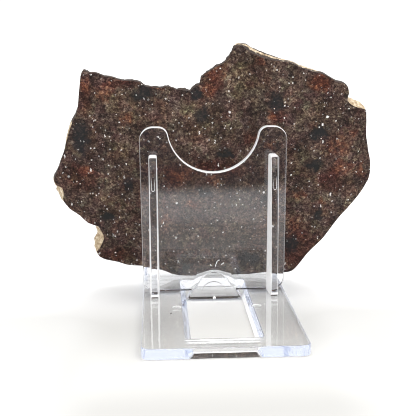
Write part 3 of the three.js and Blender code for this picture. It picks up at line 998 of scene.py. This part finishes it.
def base_material(place, normal):
    """Satin: the pin marks' walls, the raised lines and the lower half of the window's right wall, whose
    white is partly a painted highlight.
    """
    if (place - SPECK).length < SPECK_RADIUS * 1.1:
        return GRIT
    by_mark = any(
        (place - Vector((*mark, BASE_TOP))).length < DIMPLE_RADIUS + DIMPLE_RING for mark in DIMPLES
    )
    on_bead = any(
        abs(place.y - along) < BEAD_RADIUS and left < place.x < right for along, left, right in BEADS
    )
    on_right = WINDOW_LOWER < place.x < WINDOW_UPPER and WINDOW_NEAR + 1 < place.y < WINDOW_FAR - 1
    if by_mark and abs(normal.z) < 0.5:
        return SATIN_HIGHLIGHT
    if on_bead and place.z > BASE_TOP + 0.01:
        return SATIN_HIGHLIGHT
    return SATIN_HIGHLIGHT if on_right and normal.x < -0.5 and place.z < BASE_TOP / 2 else CLEAR


def base(clear, satin_highlight):
    """The footprint with its lip, raised lines and speck, and the window and pin marks cut out of it."""
    outline = rounded_rectangle(BASE_HALF, -BASE_REACH, BASE_REACH, BASE_CORNER)
    whole = slab(outline, 0, BASE_TOP, lying=True, low_radius=BASE_FOOT_RIM, high_radius=BASE_RIM)
    parts = [(slab(lip_outline(), BASE_TOP - LIP_EMBEDDED, LIP_TOP, lying=True), "UNION")]
    parts += [(window_cutter(), "DIFFERENCE"), (speck(), "UNION")]
    parts += [(bead(*ends), "UNION") for ends in BEADS]
    parts += [(dimple_cutter(place), "DIFFERENCE") for place in DIMPLES]
    mesh = joined(whole, parts, (clear, satin_highlight, dark_grit()))
    for face in mesh.polygons:
        face.material_index = base_material(face.center, face.normal)
    mesh.transform(Matrix.Translation((BASE_MIDDLE.x, BASE_MIDDLE.y, 0)) @ Matrix.Scale(MM, 4))
    moulded_piece("clear_base", mesh, "stand_base")


# ---------------------------------------------------------------- stage

def floor():
    """A white table with painted light and shade: darker in front of the stand as a painted shade of the
    slice, paler behind and beside it as painted light, a painted glow round the base, and a dark patch
    below the camera, out of the picture.
    """
    mesh = bpy.data.meshes.new("floor")
    height = base_low.z - FLOOR_DROP
    corners = (
        (-FLOOR_REACH, -FLOOR_REACH), (FLOOR_REACH, -FLOOR_REACH),
        (FLOOR_REACH, FLOOR_REACH), (-FLOOR_REACH, FLOOR_REACH),
    )
    mesh.from_pydata([(x, y, height) for x, y in corners], [], [(0, 1, 2, 3)])
    s = Shader(bpy.data.materials.new("white_table"))
    across, along, _ = s.node("SeparateXYZ", {0: s.node("TexCoord").outputs["Object"]}).outputs
    # painted light and shade on the table: paler behind the stand and a little to its sides, darker in the
    # strip in front of it
    aside = s.math("ABSOLUTE", s.math("SUBTRACT", across, FLOOR_MIDDLE))
    painted_light_beside = s.span(aside, *PAINTED_LIGHT_BESIDE, 0.0, PAINTED_LIGHT_SHARE)
    pale = s.math("MAXIMUM", s.span(along, *PAINTED_LIGHT_BEHIND), painted_light_beside)
    dark = 1.0
    for value, (rising, falling) in ((along, DARK_ALONG), (across, DARK_ACROSS)):
        between = s.math("MULTIPLY", s.span(value, *rising), s.span(value, *falling, 1.0, 0.0))
        dark = s.math("MULTIPLY", dark, between)
    front = s.mix(s.span(along, *FLOOR_NEAR_FROM), FLOOR_NEAR_COLOUR, FLOOR_COLOUR)
    white = s.mix(pale, front, FLOOR_PAINTED_LIGHT_COLOUR)
    # painted glow on the table round the base's tail and in its window
    painted_glow = 0.0
    for share, rising, falling, reach in (
        (1.0, PAINTED_GLOW_FROM, PAINTED_GLOW_FULL, PAINTED_GLOW_REACH),
        (WINDOW_PAINTED_GLOW, WINDOW_PAINTED_GLOW_FROM, WINDOW_PAINTED_GLOW_FULL, WINDOW_PAINTED_GLOW_REACH),
    ):
        painted_glow_part = s.math("MULTIPLY", s.span(along, *rising), s.span(along, *falling, share, 0.0))
        painted_glow_part = s.math("MULTIPLY", painted_glow_part, s.span(s.math("ABSOLUTE", across), *reach, 1.0, 0.0))
        painted_glow = s.math("MAXIMUM", painted_glow, painted_glow_part)
    white = s.mix(painted_glow, white, s.mix(1.0, white, (FLOOR_PAINTED_GLOW, FLOOR_PAINTED_GLOW, FLOOR_PAINTED_GLOW, 1), "MULTIPLY"))
    s.surface({"Base Color": s.mix(dark, white, (0, 0, 0, 1)), "Roughness": FLOOR_ROUGHNESS})
    mesh.materials.append(s.owner)
    add_object("floor", mesh)


def surroundings():
    """The white room, with the soft light overhead and the dim patch behind the camera."""
    world = bpy.data.worlds.new("studio")
    bpy.context.scene.world = world
    s = Shader(world, "OutputWorld")
    direction = s.node("TexCoord").outputs["Generated"]
    _, along, up = s.node("SeparateXYZ", {0: direction}).outputs
    room = s.span(s.math("MAXIMUM", up, along), *ROOM_EDGE, ROOM_DARK, ROOM_LIGHT)
    towards_lamp = s.vector("DOT_PRODUCT", direction, LAMP_DIRECTION.normalized())
    lamp = s.span(towards_lamp, *LAMP_CONE, 0.0, LAMP_LIGHT)
    towards_dim = s.vector("DOT_PRODUCT", direction, DIM_DIRECTION.normalized())
    dimmed = s.span(towards_dim, *DIM_CONE, 1.0, DIM_SHARE)
    strength = s.math("ADD", s.math("MULTIPLY", room, dimmed), lamp)
    s.surface({"Color": (1, 1, 1, 1), "Strength": strength}, "Background")


def camera():
    data = bpy.data.cameras.new("camera")
    data.lens = LENS
    data.sensor_width = SENSOR
    data.clip_start = 0.01
    made = add_object("camera", data)
    turn = Matrix.Rotation(-CAMERA_TURN, 4, "Z") @ Matrix.Rotation(math.pi / 2 - CAMERA_DIP, 4, "X")
    made.matrix_world = Matrix.Translation(CAMERA_PLACE) @ turn @ Matrix.Rotation(CAMERA_ROLL, 4, "Z")
    bpy.context.scene.camera = made


stone_slice()
clear = clear_plastic("clear_polystyrene", 0.0, 1.0)
# white satin for the stand's edges and marks: partly a matt finish, partly a painted highlight
satin_highlight = clear_plastic("satin_highlight_polystyrene", 0.4, 0.0)
base(clear, satin_highlight)
back_plate(clear, satin_highlight)
floor()
surroundings()
camera()

scene = bpy.context.scene
scene.view_settings.view_transform = "Standard"
scene.cycles.use_denoising = True
scene.cycles.max_bounces = 64
scene.cycles.transmission_bounces = 64
scene.cycles.glossy_bounces = 64
scene.cycles.blur_glossy = 0
scene.cycles.caustics_reflective = True
scene.cycles.caustics_refractive = True
scene.cycles.filter_width = 1.1
